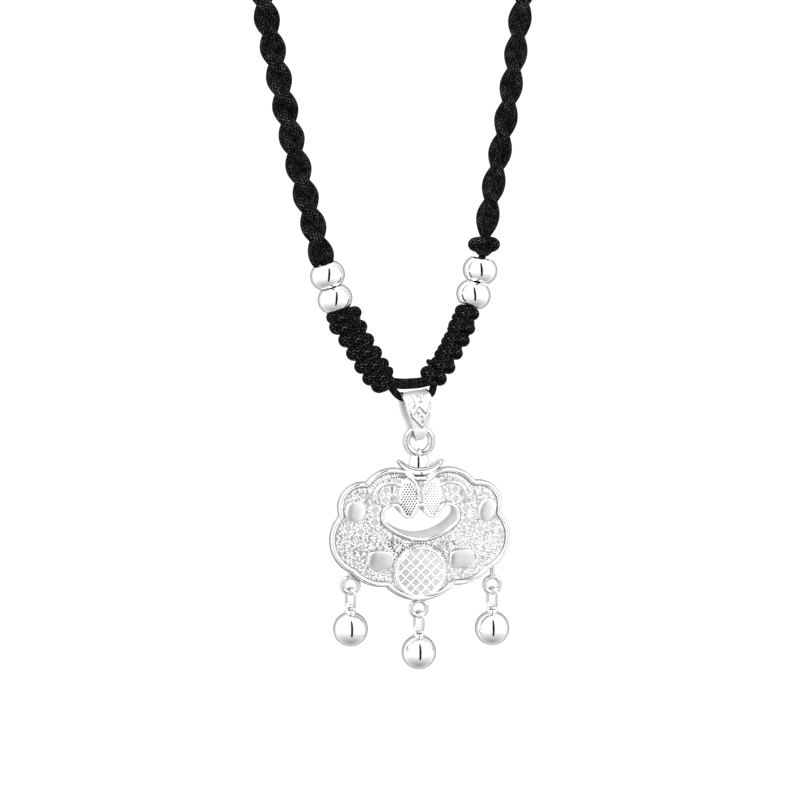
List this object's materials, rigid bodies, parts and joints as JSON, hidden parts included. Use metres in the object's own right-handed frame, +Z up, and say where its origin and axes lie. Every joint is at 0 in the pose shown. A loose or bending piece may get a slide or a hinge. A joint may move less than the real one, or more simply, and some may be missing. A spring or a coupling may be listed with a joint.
{
  "type": "longevity lock pendant necklace",
  "caption": "Silver longevity lock pendant with bell drops on a braided black cord necklace, hung as a closed loop.",
  "frame": {"origin": "inside top of the necklace's loop, under the closing barrel, where it hangs", "axes": "+Z up along the hanging loop, +Y away from the ornamented face, +X to the right seen from the front"},
  "size_m": [0.101, 0.0054, 0.3111],
  "materials": {
    "silver": "polished silver",
    "cord": "matte woven yarn with a faint sheen"
  },
  "bodies": {
    "necklace": {"braid_left": "cord", "braid_right": "cord", "closing_knot": "cord", "knot_right": "cord", "bead_left_upper": "silver", "bead_left_lower": "silver", "bead_right_upper": "silver", "bead_right_lower": "silver", "core_cord": "cord", "wrap_left": "cord", "wrap_right": "cord", "bridge_cord": "cord"},
    "bail": {"bail": "silver"},
    "ring": {"jump_ring": "silver"},
    "lock": {"lock": "silver", "drop_link_left": "silver", "drop_link_centre": "silver", "drop_link_right": "silver", "drop_ball_left": "silver", "drop_ball_centre": "silver", "drop_ball_right": "silver"}
  },
  "joints": [
    {"name": "bail_swing", "type": "hinge", "parent": "necklace", "child": "bail", "pos_m": [0.00343, -0.0001, -0.26519], "axis": [0.9728, 0.2068, 0.1045], "range_deg": [-60, 60]},
    {"name": "ring_sway", "type": "hinge", "parent": "bail", "child": "ring", "pos_m": [0.0039, 0, -0.27165], "axis": [0, 1, 0], "range_deg": [-45, 45]},
    {"name": "lock_swing", "type": "hinge", "parent": "ring", "child": "lock", "pos_m": [0.0039, 0, -0.27354], "axis": [1, 0, 0], "range_deg": [-45, 45]}
  ]
}
